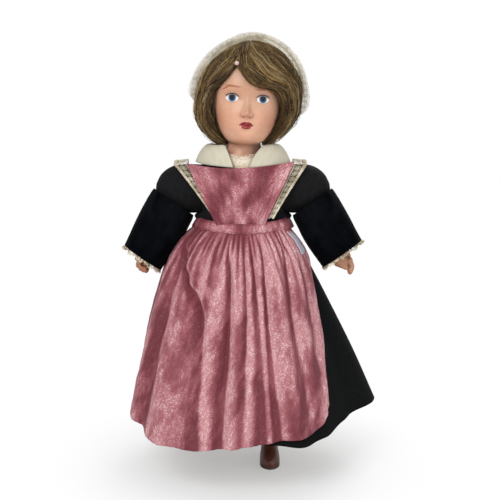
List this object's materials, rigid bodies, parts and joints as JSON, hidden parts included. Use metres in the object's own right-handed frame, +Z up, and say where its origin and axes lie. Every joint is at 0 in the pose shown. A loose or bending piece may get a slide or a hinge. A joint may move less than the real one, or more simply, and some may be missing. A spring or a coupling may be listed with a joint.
{
  "type": "strung costume doll",
  "caption": "Strung composition doll in a folk costume: dark dress, velvet apron, lace, net cap; the head turns, the arms and legs swing.",
  "frame": {"origin": "middle of the doll's outline on the floor", "axes": "+Z up; the doll faces -Y; +X is the doll's left hand"},
  "size_m": [0.206, 0.1836, 0.3438],
  "materials": {
    "skin_paint": "painted composition, satin varnish",
    "composition": "bare pressed composition",
    "mohair": "brushed mohair",
    "tulle": "fine net",
    "cream_lace": "bobbin lace",
    "linen": "plain cotton",
    "black_cloth": "plain twill",
    "black_velvet": "pile",
    "pink_velvet": "crushed pile",
    "shoe_leather": "polished",
    "sole_leather": "matt",
    "steel": "plain wire",
    "elastic": "braided cover",
    "wood": "turned",
    "pearl": "pearlised",
    "pale_ribbon": "satin"
  },
  "bodies": {
    "doll_body": {"torso_front": "composition", "torso_back": "composition", "arm_elastic": "elastic", "body_elastic": "elastic", "neck_hook": "steel", "bodice": "black_cloth", "collar_left": "linen", "collar_right": "linen", "neck_lace": "cream_lace", "apron_bib": "pink_velvet", "lace_band_left": "cream_lace", "lace_band_right": "cream_lace", "petticoat": "linen", "skirt": "black_cloth", "apron_skirt": "pink_velvet", "apron_waistband": "pink_velvet", "apron_tie": "pale_ribbon", "apron_bow": "pale_ribbon", "ribbon_end": "pale_ribbon"},
    "doll_head": {"head_shell": "skin_paint", "neck_plug": "wood", "crown_pate": "composition", "wig_cap": "linen", "wig": "mohair", "coif": "tulle", "coif_lace": "cream_lace", "hair_pin": "pearl"},
    "left_arm": {"arm_left": "skin_paint", "shoulder_washer_left": "steel", "sleeve_upper_left": "black_cloth", "sleeve_lower_left": "black_velvet", "cuff_lace_left": "cream_lace"},
    "right_arm": {"arm_right": "skin_paint", "shoulder_washer_right": "steel", "sleeve_upper_right": "black_cloth", "sleeve_lower_right": "black_velvet", "cuff_lace_right": "cream_lace"},
    "left_leg": {"leg_left": "skin_paint", "hip_pin_left": "steel", "shoe_left": "shoe_leather", "shoe_sole_left": "sole_leather"},
    "right_leg": {"leg_right": "skin_paint", "hip_pin_right": "steel", "shoe_right": "shoe_leather", "shoe_sole_right": "sole_leather"}
  },
  "joints": [
    {"name": "neck_turn", "type": "hinge", "parent": "doll_body", "child": "doll_head", "pos_m": [-0.00519, 0.00378, 0.247], "axis": [0, 0, 1], "range_deg": [-60, 60]},
    {"name": "shoulder_left", "type": "hinge", "parent": "doll_body", "child": "left_arm", "pos_m": [0.03682, 0.00378, 0.222], "axis": [-1, 0, 0], "range_deg": [-35, 60]},
    {"name": "shoulder_right", "type": "hinge", "parent": "doll_body", "child": "right_arm", "pos_m": [-0.04718, 0.00378, 0.222], "axis": [-1, 0, 0], "range_deg": [-35, 60]},
    {"name": "hip_left", "type": "hinge", "parent": "doll_body", "child": "left_leg", "pos_m": [0.01631, 0.00378, 0.15], "axis": [-1, 0, 0], "range_deg": [-25, 25]},
    {"name": "hip_right", "type": "hinge", "parent": "doll_body", "child": "right_leg", "pos_m": [-0.02669, 0.00378, 0.15], "axis": [-1, 0, 0], "range_deg": [-5, 47]}
  ]
}
